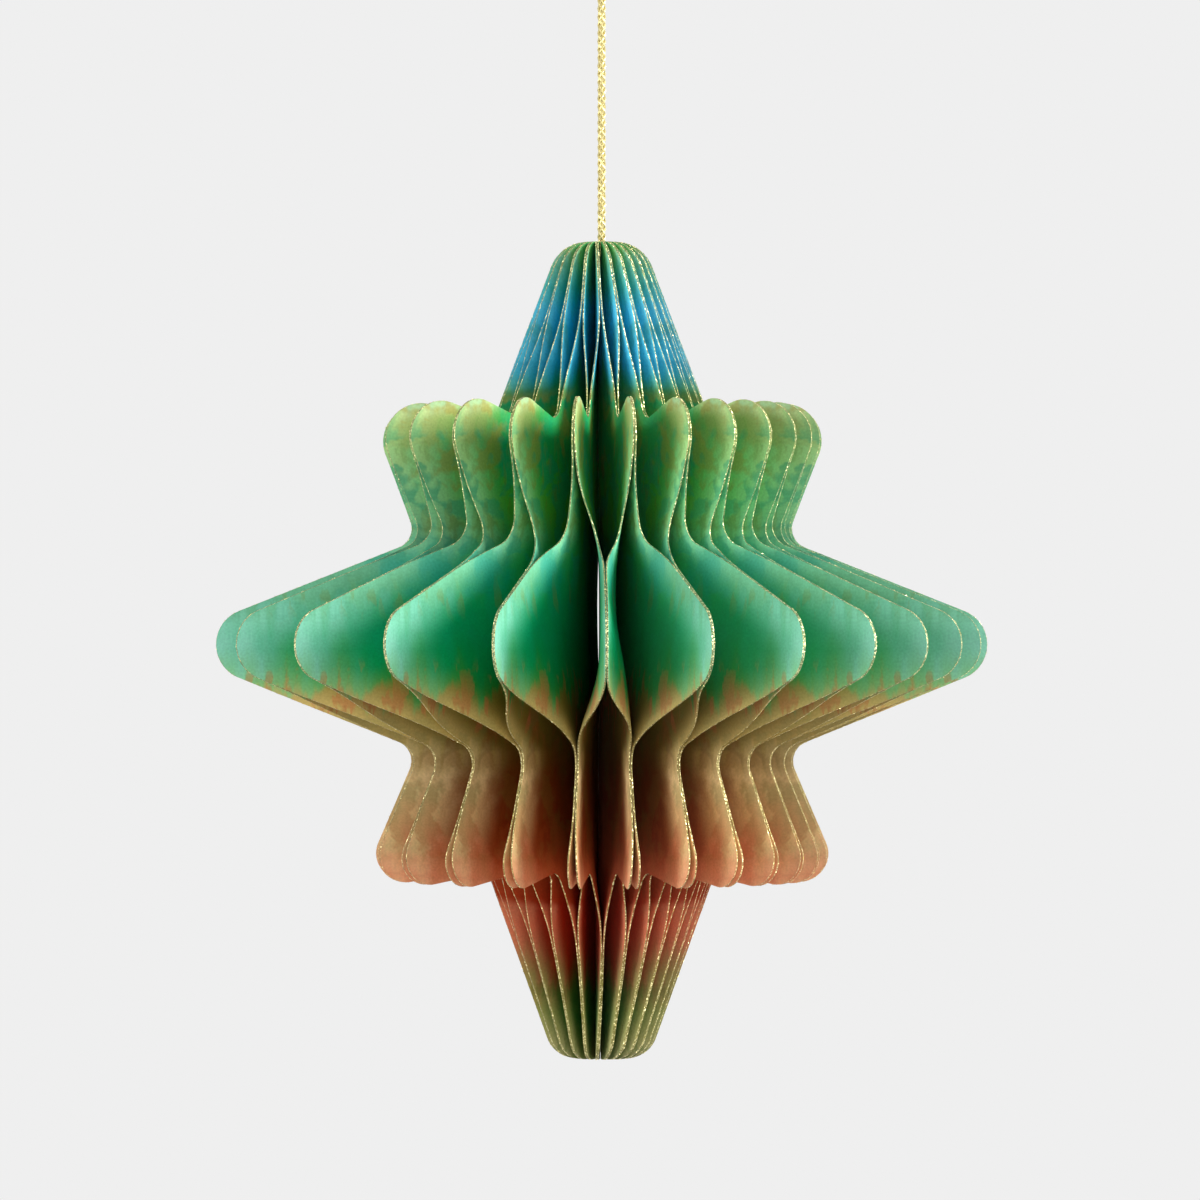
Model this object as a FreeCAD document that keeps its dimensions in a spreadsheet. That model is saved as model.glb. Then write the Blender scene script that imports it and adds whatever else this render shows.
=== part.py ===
"""Hanging paper star: printed card leaves bound at a central spine and fanned out all round.

Every leaf is half of the star's profile. It starts at the spine, and is glued to one neighbour
near the crown, at the equator tip and near the foot (a fold line, called a ridge here), and to
its other neighbour along the two lobes (the opposite fold line, called a valley). The leaf bends
from its ridge to its valley and back, which gives the star its honeycomb cells. The leaves come
as two books, which meet at a narrow slot beside the axis. A braided cord, held by a knot in the
spine's bore, ends in a knotted loop.

Frame: origin on the axis at half height, +Z up, front towards -Y. Millimetres and degrees.
"""
import FreeCAD, Part
import Sketcher
import math
import os

from FreeCAD import Vector

SIZES = {
    # outline of a leaf: distance from the axis and height of each theoretical corner, and the
    # radius that rounds it
    "crown_radius": 7.6,
    "crown_height": 75.0,
    "crown_round": 7.0,
    "upper_notch_radius": 20.4,
    "upper_notch_height": 41.2,
    "upper_lobe_radius": 44.9,
    "upper_lobe_height": 48.8,
    "upper_lobe_round": 6.6,
    "upper_waist_radius": 33.9,
    "upper_waist_height": 20.2,
    "tip_radius": 81.7,
    "tip_height": 1.1,
    "tip_round": 6.55,
    "lower_waist_radius": 34.0,
    "lower_waist_depth": 18.4,
    "lower_lobe_radius": 44.8,
    "lower_lobe_depth": 43.7,
    "lower_lobe_round": 4.9,
    "lower_notch_radius": 21.3,
    "lower_notch_depth": 39.9,
    "foot_radius": 8.7,
    "foot_depth": 75.0,
    "foot_round": 5.5,
    "notch_round": 3.0,
    "waist_round": 3.8,
    # card and spine
    "card_thickness": 0.25,
    "glue_film": 0.04,
    "bore_radius": 2.8,
    "slot_offset": 0.88,
    "slot_width": 0.95,
    # how the leaves fan out
    "fan_turn": -19.7,
    "fan_swing": 18.3,
    "fan_lead": 84.4,
    "fan_reach": 12.0,
    "held_height": 6.5,
    "held_half": 7.5,
    "held_fade": 16.0,
    # hanging cord, its knots and its loop
    "cord_diameter": 1.6,
    "cord_rise": 46.0,
    "crown_knot_fit": 0.3,
    "crown_knot_depth": 2.0,
    "crown_knot_length": 4.0,
    "crown_knot_round": 1.2,
    "loop_knot_diameter": 4.6,
    "loop_knot_length": 4.0,
    "loop_knot_round": 0.5,
    "loop_foot": 0.85,
    "loop_foot_rise": 2.5,
    "loop_width": 6.0,
    "loop_bend_height": 7.0,
    "loop_height": 13.0,
}

RIGHT_BOOK_LEAVES = 32
LEFT_BOOK_LEAVES = 20
LEAVES = RIGHT_BOOK_LEAVES + LEFT_BOOK_LEAVES

RIDGE = 1.0
VALLEY = -1.0

# Where a leaf's outline is held. Each hold runs along the edge from one corner to the next,
# between two shares of that edge's length, at a share of the way to the leaf's ridge or valley.
HOLDS = [
    ("crown", "upper_notch", 0.03, 0.35, RIDGE),
    ("upper_lobe", "upper_notch", 0.35, 0.97, VALLEY),
    ("upper_lobe", "upper_waist", 0.16, 0.53, VALLEY),
    ("tip", "upper_waist", 0.25, 0.70, RIDGE),
    ("tip", "lower_waist", 0.27, 0.33, RIDGE),
    ("lower_waist", "lower_lobe", 0.155, 0.45, VALLEY),
    ("lower_lobe", "lower_waist", 0.2, 0.3, 0.8 * VALLEY),
    ("lower_lobe", "lower_notch", 0.37, 0.97, 0.74 * VALLEY),
    ("foot", "lower_notch", 0.03, 0.63, RIDGE),
]

# How the leaf bellies out of its ridge at the height of the tip: distance from the axis as a
# share of the tip's, and the share of the way to its ridge or valley.
BELLIES = [(0.67, 0.6 * RIDGE), (0.523, 0.1 * RIDGE), (0.364, 0.3 * VALLEY)]

# how near to its ridge plane a leaf beside the slot is held
HELD_SHARE = 0.8

# control net of a leaf's two faces
DEGREE = 3
NET_ALONG_RADIUS = 16
NET_ALONG_HEIGHT = 34
NET_MARGIN = 1.5

PIN_SPACING = 4.0
SPINE_PIN_SPACING = 9.0

# the leaf whose middle the turned outline's seam runs along, clear of every ridge and valley,
# and the angle from the front at which the seam starts out
SEAM_LEAF = 15
RIGHT_HAND_SIDE = 90.0

# terms of the flat plate under a bent one, and the distance at which two pins are one
PLANE_TERMS = 3
SAME_PLACE = 1e-12

# share of its shorter run that each of the loop's arcs takes up
ARC_SHARE = 0.45


def make_sheet(doc):
    """The spreadsheet of driving dimensions, one alias to a row."""
    sheet = doc.addObject("Spreadsheet::Sheet", "sizes")
    for row, (name, value) in enumerate(SIZES.items(), start=1):
        sheet.set(f"A{row}", name)
        sheet.set(f"B{row}", str(value))
        sheet.setAlias(f"B{row}", name)
    return sheet


def outline_corners(size):
    """The outline's corners from crown to foot: name, distance from the axis and height."""
    return [
        ("crown", size.crown_radius, size.crown_height),
        ("upper_notch", size.upper_notch_radius, size.upper_notch_height),
        ("upper_lobe", size.upper_lobe_radius, size.upper_lobe_height),
        ("upper_waist", size.upper_waist_radius, size.upper_waist_height),
        ("tip", size.tip_radius, size.tip_height),
        ("lower_waist", size.lower_waist_radius, -size.lower_waist_depth),
        ("lower_lobe", size.lower_lobe_radius, -size.lower_lobe_depth),
        ("lower_notch", size.lower_notch_radius, -size.lower_notch_depth),
        ("foot", size.foot_radius, -size.foot_depth),
    ]


ROUNDS = {
    "crown": "crown_round",
    "upper_notch": "notch_round",
    "upper_lobe": "upper_lobe_round",
    "upper_waist": "waist_round",
    "tip": "tip_round",
    "lower_waist": "waist_round",
    "lower_lobe": "lower_lobe_round",
    "lower_notch": "notch_round",
    "foot": "foot_round",
}


def origin_feature(body, role):
    """A plane or axis of the body's own origin."""
    return next(f for f in body.Origin.OriginFeatures if f.Role == role)


def bind_corner(sketch, edge, name, below):
    """Ties the start of a sketch line to a corner's two cells."""
    across = sketch.addConstraint(
        Sketcher.Constraint("DistanceX", -1, 1, edge, 1, sketch.Geometry[edge].StartPoint.x)
    )
    sketch.renameConstraint(across, f"{name}_across")
    sketch.setExpression(f"Constraints.{name}_across", f"sizes.{name}_radius")
    up = sketch.addConstraint(
        Sketcher.Constraint("DistanceY", -1, 1, edge, 1, sketch.Geometry[edge].StartPoint.y)
    )
    sketch.renameConstraint(up, f"{name}_up")
    height = f"-sizes.{name}_depth" if below else f"sizes.{name}_height"
    sketch.setExpression(f"Constraints.{name}_up", height)


def outline_sketch(body, corners):
    """Half of the star's profile, closed along the axis."""
    sketch = body.newObject("Sketcher::SketchObject", "half_profile")
    sketch.AttachmentSupport = [(origin_feature(body, "XZ_Plane"), "")]
    sketch.MapMode = "FlatFace"
    points = [Vector(radius, height, 0) for _, radius, height in corners]
    top = Vector(0, points[0].y, 0)
    bottom = Vector(0, points[-1].y, 0)
    loop = points + [bottom, top]
    for start, end in zip(loop, loop[1:] + loop[:1]):
        sketch.addGeometry(Part.LineSegment(start, end), False)
    count = len(loop)
    for edge in range(count):
        sketch.addConstraint(Sketcher.Constraint("Coincident", edge, 2, (edge + 1) % count, 1))
    for edge, (name, _, _) in enumerate(corners):
        bind_corner(sketch, edge, name, name.startswith("lower") or name == "foot")
    under_foot = len(corners) - 1
    along_axis = under_foot + 1
    over_crown = along_axis + 1
    sketch.addConstraint(Sketcher.Constraint("Horizontal", under_foot))
    sketch.addConstraint(Sketcher.Constraint("PointOnObject", along_axis, 1, -2))
    sketch.addConstraint(Sketcher.Constraint("PointOnObject", over_crown, 1, -2))
    sketch.addConstraint(Sketcher.Constraint("Horizontal", over_crown))
    return sketch


def corner_edge(shape, radius, height):
    """The name of the circular edge nearest to a corner of the turned outline."""

    def miss(edge):
        box = edge.BoundBox
        return abs(box.XMax - radius) + abs(box.ZMax - height) + abs(box.ZMin - height)

    best = min(range(len(shape.Edges)), key=lambda n: miss(shape.Edges[n]))
    return f"Edge{best + 1}"


def make_envelope(doc, size):
    """The turned outline, which every leaf is cut to: the star with its cells filled."""
    body = doc.addObject("PartDesign::Body", "envelope")
    corners = outline_corners(size)
    sketch = outline_sketch(body, corners)
    turned = body.newObject("PartDesign::Revolution", "turned_outline")
    turned.Profile = sketch
    turned.ReferenceAxis = (sketch, ["V_Axis"])
    turned.Angle = 360
    sketch.Visibility = False
    doc.recompute()
    base = turned
    for name, radius, height in corners:
        rounding = body.newObject("PartDesign::Fillet", f"{name}_rounding")
        rounding.Base = (base, [corner_edge(base.Shape, radius, height)])
        rounding.setExpression("Radius", f"sizes.{ROUNDS[name]}")
        doc.recompute()
        base = rounding
    seam = FreeCAD.Rotation(Vector(0, 0, 1), fanned_angle(size, SEAM_LEAF) - RIGHT_HAND_SIDE)
    body.Placement = FreeCAD.Placement(Vector(), seam)
    return body


def solve(matrix, right):
    """Gauss elimination with row exchange, for the small system of the bent card."""
    rows = [list(row) + [value] for row, value in zip(matrix, right)]
    count = len(rows)
    for column in range(count):
        pivot = max(range(column, count), key=lambda n: abs(rows[n][column]))
        rows[column], rows[pivot] = rows[pivot], rows[column]
        for below in range(column + 1, count):
            factor = rows[below][column] / rows[column][column]
            if factor:
                for n in range(column, count + 1):
                    rows[below][n] -= factor * rows[column][n]
    answer = [0.0] * count
    for n in reversed(range(count)):
        known = sum(rows[n][k] * answer[k] for k in range(n + 1, count))
        answer[n] = (rows[n][count] - known) / rows[n][n]
    return answer


def bending(a, b):
    """How far a pull on a thin plate at one point moves another."""
    apart = (a[0] - b[0]) ** 2 + (a[1] - b[1]) ** 2
    return apart * math.log(apart) / 2 if apart > SAME_PLACE else 0.0


class BentCard:
    """The shape of a thin plate that is pinned at some points and free everywhere else."""

    def __init__(self, pins, scale):
        self.scale = scale
        self.places = [(radius / scale, height / scale) for radius, height, _ in pins]
        flat = [(1.0, x, y) for x, y in self.places]
        matrix = [
            [bending(a, b) for b in self.places] + list(plane)
            for a, plane in zip(self.places, flat)
        ]
        blank = [0.0] * PLANE_TERMS
        matrix += [[plane[n] for plane in flat] + blank for n in range(PLANE_TERMS)]
        self.pulls = solve(matrix, [value for _, _, value in pins] + blank)

    def at(self, radius, height):
        """The plate's deflection at a distance from the axis and a height."""
        here = (radius / self.scale, height / self.scale)
        terms = [bending(here, place) for place in self.places] + [1.0, *here]
        return sum(pull * term for pull, term in zip(self.pulls, terms))


def smooth(share):
    """Eases from 0 to 1."""
    share = min(max(share, 0.0), 1.0)
    return share * share * (3.0 - 2.0 * share)


def strip(corners, start, end, first, last, share):
    """Pins along an outline edge, between two shares of its length."""
    ends = {name: (radius, height) for name, radius, height in corners}
    (start_radius, start_height), (end_radius, end_height) = ends[start], ends[end]
    length = math.hypot(end_radius - start_radius, end_height - start_height)
    spans = max(1, round((last - first) * length / PIN_SPACING))
    for n in range(spans + 1):
        along = first + (last - first) * n / spans
        radius = start_radius + (end_radius - start_radius) * along
        height = start_height + (end_height - start_height) * along
        yield (radius, height, share)


def even_room(size, radius):
    """How far a leaf of an even fan can move sideways before it meets its neighbour's half."""
    quarter = math.pi / LEAVES
    return radius * quarter - (size.card_thickness + size.glue_film) / 2


def leaf_bend(size):
    """The plate that stands for one leaf: held at the spine, glued to its ridge and valley."""
    corners = outline_corners(size)
    pins = [pin for hold in HOLDS for pin in strip(corners, *hold)]
    pins += [(size.tip_radius * out, size.tip_height, share) for out, share in BELLIES]
    pinned = [(r, z, unsoftened(share) * even_room(size, r)) for r, z, share in pins]
    rows = round((size.crown_height + size.foot_depth) / SPINE_PIN_SPACING)
    for n in range(rows + 1):
        height = -size.foot_depth + (size.crown_height + size.foot_depth) * n / rows
        pinned.append((size.bore_radius, height, 0.0))
    return BentCard(pinned, size.tip_radius)


def softened(share):
    """Lets a leaf lie flat against its ridge or valley plane once the plate would reach it."""
    return math.sin(min(max(share, -1.0), 1.0) * math.pi / 2)


def unsoftened(share):
    """The plate's share that softened() turns into this one."""
    return math.asin(share) * 2 / math.pi


def towards_ridge(size, card, radius, height):
    """Where the leaf stands between its valley (-1) and its ridge (+1)."""
    return softened(card.at(radius, height) / max(even_room(size, radius), size.card_thickness))


def held_straight(size, height):
    """1 where a leaf at the slot is drawn straight from spine to tip, easing to 0 beyond."""
    beyond = abs(height - size.held_height) - size.held_half
    return 1.0 - smooth(beyond / size.held_fade)


def fanned_angle(size, number):
    """The outer angle of a leaf: an even fan that swings wider on one side."""
    even = size.fan_turn + 360.0 * number / LEAVES
    return even + size.fan_swing * math.sin(math.radians(even + size.fan_lead))


def spine_angle(size, number, height):
    """The angle of a leaf at the spine, where each book is packed evenly up to the slot."""
    slot = size.glue_film + (size.slot_width - size.glue_film) * held_straight(size, height)
    beside = (slot + size.card_thickness) / 2
    near = math.degrees(math.asin((size.slot_offset - beside) / size.bore_radius))
    far = math.degrees(math.asin((size.slot_offset + beside) / size.bore_radius))
    if number < RIGHT_BOOK_LEAVES:
        share = number / (RIGHT_BOOK_LEAVES - 1)
        return -near + (180.0 + 2 * near) * share
    share = (number - RIGHT_BOOK_LEAVES) / (LEFT_BOOK_LEAVES - 1)
    return 180.0 + far + (180.0 - 2 * far) * share


def leaf_angle(size, number, radius, height):
    """The angle of the middle of a leaf's room, eased from the spine to the fan."""
    turns = number // LEAVES
    inner = spine_angle(size, number % LEAVES, height) + 360.0 * turns
    outer = fanned_angle(size, number)
    out = smooth((radius - size.bore_radius) / size.fan_reach)
    return inner + (outer - inner) * out


def leaf_turn(size, card, number, radius, height):
    """The angle at which a leaf stands at a point of its outline."""
    share = towards_ridge(size, card, radius, height)
    if number in (0, RIGHT_BOOK_LEAVES - 1):
        share += max(HELD_SHARE - share, 0.0) * held_straight(size, height)
    ridge_way = 1 if number % 2 == 0 else -1
    way = ridge_way if share > 0 else -ridge_way
    middle = leaf_angle(size, number, radius, height)
    between = (leaf_angle(size, number + way, radius, height) - middle) / 2
    film = math.degrees((size.card_thickness + size.glue_film) / 2 / radius)
    room = max(abs(between) - film, 0.0)
    return middle + way * abs(share) * room


def net_steps(count):
    """Even places of a clamped spline's poles, from 0 to 1."""
    spans = count - DEGREE
    knots = [0.0] * DEGREE + [n / spans for n in range(spans + 1)] + [1.0] * DEGREE
    return [sum(knots[n + 1 : n + 1 + DEGREE]) / DEGREE for n in range(count)]


def spline_face(poles):
    """A cubic face over a net of poles."""
    surface = Part.BSplineSurface()
    knots = []
    repeats = []
    for count in (len(poles), len(poles[0])):
        spans = count - DEGREE
        knots.append([n / spans for n in range(spans + 1)])
        repeats.append([DEGREE + 1] + [1] * (spans - 1) + [DEGREE + 1])
    surface.buildFromPolesMultsKnots(
        poles, repeats[0], repeats[1], knots[0], knots[1], False, False, DEGREE, DEGREE
    )
    return surface


def slab(near, far):
    """A closed sheet between two spline faces with the same net."""
    faces = [near.toShape(), far.toShape()]
    for edge_of in (
        lambda surface: surface.uIso(0.0),
        lambda surface: surface.uIso(1.0),
        lambda surface: surface.vIso(0.0),
        lambda surface: surface.vIso(1.0),
    ):
        faces.append(Part.makeRuledSurface(edge_of(near).toShape(), edge_of(far).toShape()))
    shell = Part.Shell(faces)
    shell.sewShape()
    solid = Part.Solid(shell)
    if solid.Volume < 0:
        solid.reverse()
    return solid


def tip_reach(size):
    """How far from the axis the rounded tip reaches."""
    rise = math.atan2(size.upper_waist_height - size.tip_height,
                      size.tip_radius - size.upper_waist_radius)
    fall = math.atan2(size.lower_waist_depth + size.tip_height,
                      size.tip_radius - size.lower_waist_radius)
    return size.tip_radius - size.tip_round * (1 / math.sin((rise + fall) / 2) - 1)


def leaf_sheet(size, card, number):
    """One leaf before it is cut to the outline: a bent sheet from the spine to past the tip."""
    inner = size.bore_radius
    outer = tip_reach(size) + NET_MARGIN
    top = size.crown_height + NET_MARGIN
    bottom = -size.foot_depth - NET_MARGIN
    near = []
    far = []
    for step in net_steps(NET_ALONG_RADIUS):
        radius = inner + (outer - inner) * step
        half = math.degrees(size.card_thickness / 2 / radius)
        near_row = []
        far_row = []
        for rise in net_steps(NET_ALONG_HEIGHT):
            height = bottom + (top - bottom) * rise
            turn = leaf_turn(size, card, number, radius, height)
            near_row.append(around(radius, turn - half, height))
            far_row.append(around(radius, turn + half, height))
        near.append(near_row)
        far.append(far_row)
    return slab(spline_face(near), spline_face(far))


def around(radius, turn, height):
    """The point at an angle from the front, turning to the right."""
    angle = math.radians(turn)
    return Vector(radius * math.sin(angle), -radius * math.cos(angle), height)


def make_leaves(doc, size, envelope):
    """All the leaves, each a bent sheet cut to the turned outline."""
    card = leaf_bend(size)
    leaves = []
    for number in range(LEAVES):
        sheet = doc.addObject("Part::Feature", f"bent_sheet_{number + 1:02d}")
        sheet.Shape = leaf_sheet(size, card, number)
        sheet.Placement = FreeCAD.Placement()
        leaf = doc.addObject("Part::Common", f"leaf_{number + 1:02d}")
        leaf.Label = f"leaf_{number + 1:02d}"
        leaf.Base = sheet
        leaf.Tool = envelope
        leaves.append(leaf)
    return leaves


def make_knot(doc, name, radius, length, rounding, foot):
    """A knot as a short barrel with flat ends, standing on the axis."""
    body = doc.addObject("PartDesign::Body", name)
    body.Label = name
    barrel = body.newObject("PartDesign::AdditiveCylinder", f"{name}_barrel")
    barrel.setExpression("Radius", radius)
    barrel.setExpression("Height", length)
    doc.recompute()
    rims = [
        f"Edge{n}"
        for n, edge in enumerate(barrel.Shape.Edges, start=1)
        if isinstance(edge.Curve, Part.Circle)
    ]
    rounded = body.newObject("PartDesign::Fillet", f"{name}_rims")
    rounded.Base = (barrel, rims)
    rounded.setExpression("Radius", rounding)
    body.setExpression("Placement.Base.z", foot)
    return body


def make_cord(doc):
    """The taut cord, from the knot in the bore to the knot under the loop."""
    cord = doc.addObject("Part::Cylinder", "hanging_cord")
    cord.Label = "hanging_cord"
    cord.setExpression("Radius", "sizes.cord_diameter / 2")
    cord.setExpression("Height", "sizes.cord_rise + sizes.crown_knot_depth")
    cord.setExpression("Placement.Base.z", "sizes.crown_height - sizes.crown_knot_depth")
    return cord


def rounded_route(points):
    """Straight runs joined by tangent arcs, each as large as its shorter run allows."""
    edges = []
    start = points[0]
    for before, corner, after in zip(points, points[1:], points[2:]):
        back = before - corner
        onward = after - corner
        half_turn = (math.pi - back.getAngle(onward)) / 2
        setback = ARC_SHARE * min(back.Length, onward.Length)
        radius = setback / math.tan(half_turn)
        print(f"loop arc radius {radius:.2f} mm")
        enter = corner + back.normalize() * setback
        leave = corner + onward.normalize() * setback
        middle = (back + onward).normalize()
        depth = radius / math.cos(half_turn) - radius
        edges.append(Part.LineSegment(start, enter).toShape())
        edges.append(Part.Arc(enter, corner + middle * depth, leave).toShape())
        start = leave
    edges.append(Part.LineSegment(start, points[-1]).toShape())
    return Part.Wire(edges)


def make_loop(doc, size):
    """The loop that goes over a hook, from the upper knot and back to it."""
    foot = size.crown_height + size.cord_rise + size.loop_knot_length
    half = size.loop_width / 2
    side = [
        (size.loop_foot, 0.0),
        (size.loop_foot, size.loop_foot_rise),
        (half, size.loop_bend_height),
        (half, size.loop_height),
    ]
    points = [Vector(x, 0, foot + rise) for x, rise in side]
    points += [Vector(-x, 0, foot + rise) for x, rise in reversed(side)]
    route = doc.addObject("Part::Feature", "loop_route")
    route.Shape = rounded_route(points)
    section = doc.addObject("Part::Circle", "loop_section")
    section.setExpression("Radius", "sizes.cord_diameter / 2")
    section.Placement = FreeCAD.Placement(
        points[0], FreeCAD.Rotation(Vector(0, 0, 1), points[1] - points[0])
    )
    loop = doc.addObject("Part::Sweep", "hanging_loop")
    loop.Label = "hanging_loop"
    loop.Sections = [section]
    loop.Spine = (route, [f"Edge{n + 1}" for n in range(len(route.Shape.Edges))])
    loop.Solid = True
    return loop


def check(doc, parts):
    """Stops at any object that failed and at any sub-part that isn't a sound solid."""
    for item in doc.Objects:
        if "Invalid" in item.State or "Error" in item.State:
            raise RuntimeError(f"{item.Name} failed: {item.State}")
    for part in parts:
        if part.Shape.isNull() or not part.Shape.isValid() or len(part.Shape.Solids) != 1:
            raise RuntimeError(f"{part.Label} is not one sound solid")


def main():
    """Builds every sub-part from the sheet and writes each one as its own solid."""
    doc = FreeCAD.newDocument("paper_star")
    size = make_sheet(doc)
    doc.recompute()
    envelope = make_envelope(doc, size)
    parts = make_leaves(doc, size, envelope)
    parts.append(
        make_knot(
            doc,
            "crown_knot",
            "sizes.bore_radius - sizes.crown_knot_fit",
            "sizes.crown_knot_length",
            "sizes.crown_knot_round",
            "sizes.crown_height - sizes.crown_knot_depth - sizes.crown_knot_length",
        )
    )
    parts.append(make_cord(doc))
    parts.append(
        make_knot(
            doc,
            "loop_knot",
            "sizes.loop_knot_diameter / 2",
            "sizes.loop_knot_length",
            "sizes.loop_knot_round",
            "sizes.crown_height + sizes.cord_rise",
        )
    )
    parts.append(make_loop(doc, size))
    doc.recompute()
    check(doc, parts)
    os.makedirs("parts", exist_ok=True)
    for part in parts:
        part.Shape.exportStep(f"parts/{part.Label}.step")
    card = sum(part.Shape.Volume for part in parts[:LEAVES])
    print(f"{len(parts)} sub-parts, card volume {card / 1000:.1f} cm3")


main()
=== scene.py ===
"""Looks of a hanging paper star: printed card leaves, glittered edges and a braided gold cord."""
import logging
import math
from dataclasses import dataclass
from enum import Enum

import bmesh
import bpy
import numpy as np
from bpy.types import Material, Node, NodeOutputs, NodeSocket, NodeTree, Object
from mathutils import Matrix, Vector


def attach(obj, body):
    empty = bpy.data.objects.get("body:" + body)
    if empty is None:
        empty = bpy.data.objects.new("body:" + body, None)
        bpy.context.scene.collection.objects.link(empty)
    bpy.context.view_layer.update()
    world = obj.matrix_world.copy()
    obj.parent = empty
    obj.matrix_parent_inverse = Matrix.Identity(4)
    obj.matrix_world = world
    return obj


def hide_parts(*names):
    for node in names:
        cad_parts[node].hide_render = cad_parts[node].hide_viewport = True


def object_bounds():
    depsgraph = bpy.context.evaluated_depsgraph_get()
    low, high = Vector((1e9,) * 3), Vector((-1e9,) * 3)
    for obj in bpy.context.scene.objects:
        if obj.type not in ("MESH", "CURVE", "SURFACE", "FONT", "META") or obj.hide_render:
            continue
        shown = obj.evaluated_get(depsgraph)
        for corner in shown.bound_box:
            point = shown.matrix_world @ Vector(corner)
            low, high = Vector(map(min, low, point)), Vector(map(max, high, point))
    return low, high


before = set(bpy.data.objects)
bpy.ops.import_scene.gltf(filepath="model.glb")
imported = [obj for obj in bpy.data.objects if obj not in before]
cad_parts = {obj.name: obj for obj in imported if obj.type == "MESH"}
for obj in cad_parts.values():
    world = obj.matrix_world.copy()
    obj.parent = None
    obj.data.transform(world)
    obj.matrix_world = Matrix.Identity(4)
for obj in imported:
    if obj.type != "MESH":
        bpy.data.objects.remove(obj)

CAD_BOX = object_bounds()

logging.basicConfig(level=logging.INFO, format="%(message)s")
log = logging.getLogger("paper_star")

MM = 0.001
BODY = "root"
TINY = 1e-12                        # keeps a division clear of zero
ROUND_UNDER = math.radians(50)      # edges flatter than this are shaded round
MERGE_WITHIN = 1e-6                 # metres; corners closer than this are one
SHEET_BEND = 0.6                    # radians; a sharper fold parts a leaf's face from its edge
NO_FACE = 9.0                       # an angle past any fold, for a face with no area


class Slot(Enum):
    """Names of material slots."""

    CARD = "printed_card"
    CORD = "gold_cord"


# ---------------------------------------------------------------- materials


def linear(hex_colour: str) -> tuple[float, float, float, float]:
    """Turns an sRGB hex colour to linear light.

    Args:
        hex_colour: the colour as "#rrggbb".

    Returns:
        Red, green, blue and an alpha of 1.
    """
    channels = [int(hex_colour[n : n + 2], 16) / 255 for n in (1, 3, 5)]
    light = [c / 12.92 if c <= 0.04045 else ((c + 0.055) / 1.055) ** 2.4 for c in channels]
    return (light[0], light[1], light[2], 1.0)


def add(tree: NodeTree, kind: str, inputs: dict | None = None, **settings: object) -> Node:
    """Adds a node with its settings and links.

    Args:
        tree: the node tree to add to.
        kind: the node's type, such as "ShaderNodeMath".
        inputs: socket name or number to a value, or to the output socket that feeds it.
        settings: the node's own properties.

    Returns:
        The new node.
    """
    node = tree.nodes.new(kind)
    for name, value in settings.items():
        setattr(node, name, value)
    for key, value in (inputs or {}).items():
        if isinstance(value, NodeSocket):
            tree.links.new(value, node.inputs[key])
        else:
            node.inputs[key].default_value = value
    return node


def new_material(name: str) -> tuple[Material, NodeTree]:
    """Makes a material with an empty node tree.

    Args:
        name: the material's name.

    Returns:
        The material and its node tree.
    """
    material = bpy.data.materials.new(name)
    material.use_nodes = True
    material.node_tree.nodes.clear()
    return material, material.node_tree


@dataclass(frozen=True)
class Wash:
    """A soft field of ink on the leaf: its middle and half sizes in mm, and its colour."""

    radius: float
    height: float
    half_radius: float
    half_height: float
    colour: str
    strength: float


@dataclass(frozen=True)
class Mottle:
    """Ragged flecks of more ink over the wash.

    They follow a cloud of noise, wide and high in mm and moved by shift: up to bare there are none,
    and an edge further on they are whole. Each ink, from foot to crown, is its height in mm, its
    colour and how strongly it covers.
    """

    wide: float
    high: float
    shift: float
    bare: float
    edge: float
    inks: tuple[tuple[float, str, float], ...]


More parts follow.
